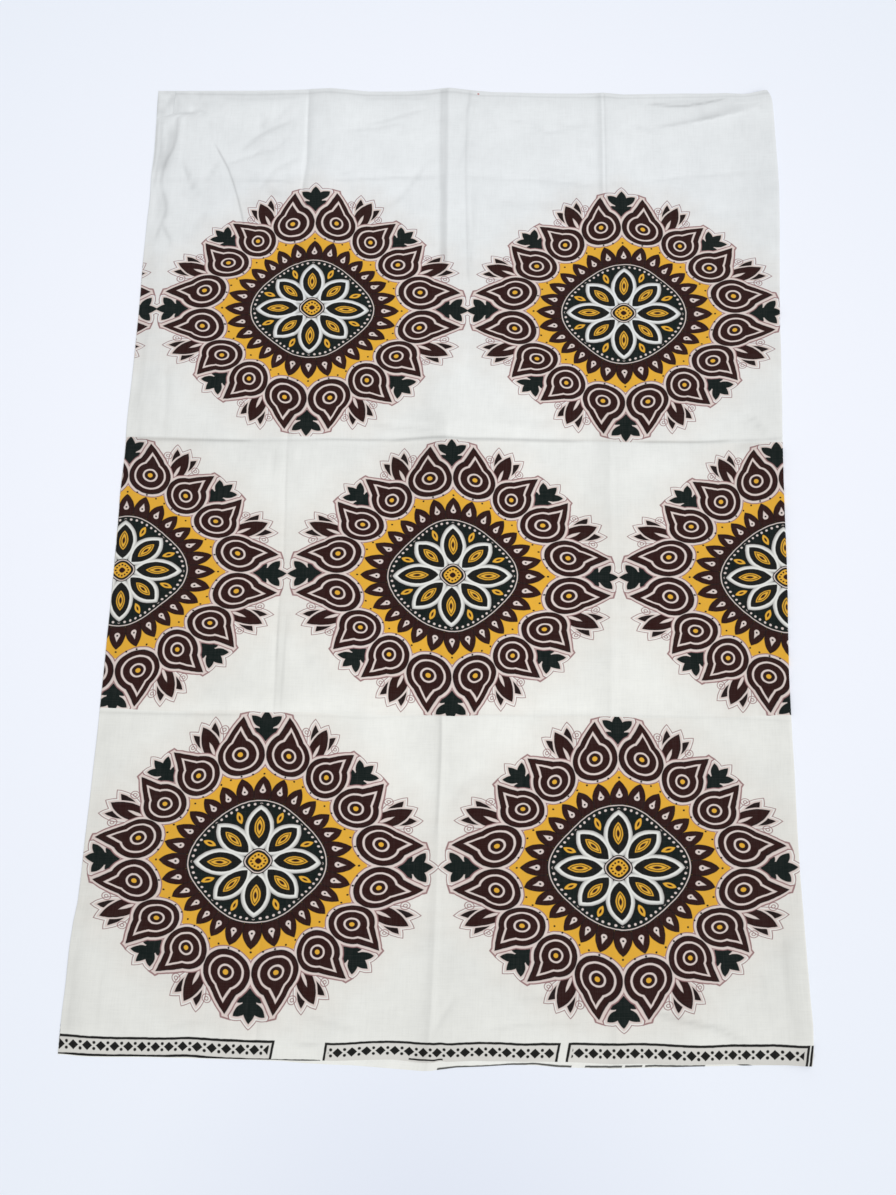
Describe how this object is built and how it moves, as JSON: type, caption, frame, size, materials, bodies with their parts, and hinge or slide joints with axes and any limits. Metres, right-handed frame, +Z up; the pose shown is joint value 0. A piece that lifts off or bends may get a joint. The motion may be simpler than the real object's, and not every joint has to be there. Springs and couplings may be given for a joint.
{
  "type": "wrapper cloth",
  "caption": "Rectangular printed cotton wrapper cloth, folded once end to end and laid flat, with two offset layers at its free ends and a rounded fold.",
  "frame": {"origin": "on the ground under the middle of the folded cloth", "axes": "+Z up out of the cloth, +Y towards the plain selvage along the longer side, +X towards the fold"},
  "size_m": [0.7615, 1.1141, 0.0052],
  "materials": {
    "cotton_upper": "matte plain-weave cotton, printed in dark red-brown, ochre and dark green on off-white",
    "cotton_under": "matte plain-weave cotton, the back of the print on off-white"
  },
  "bodies": {
    "root": {"upper_layer": "cotton_upper", "under_layer": "cotton_under"}
  },
  "joints": []
}
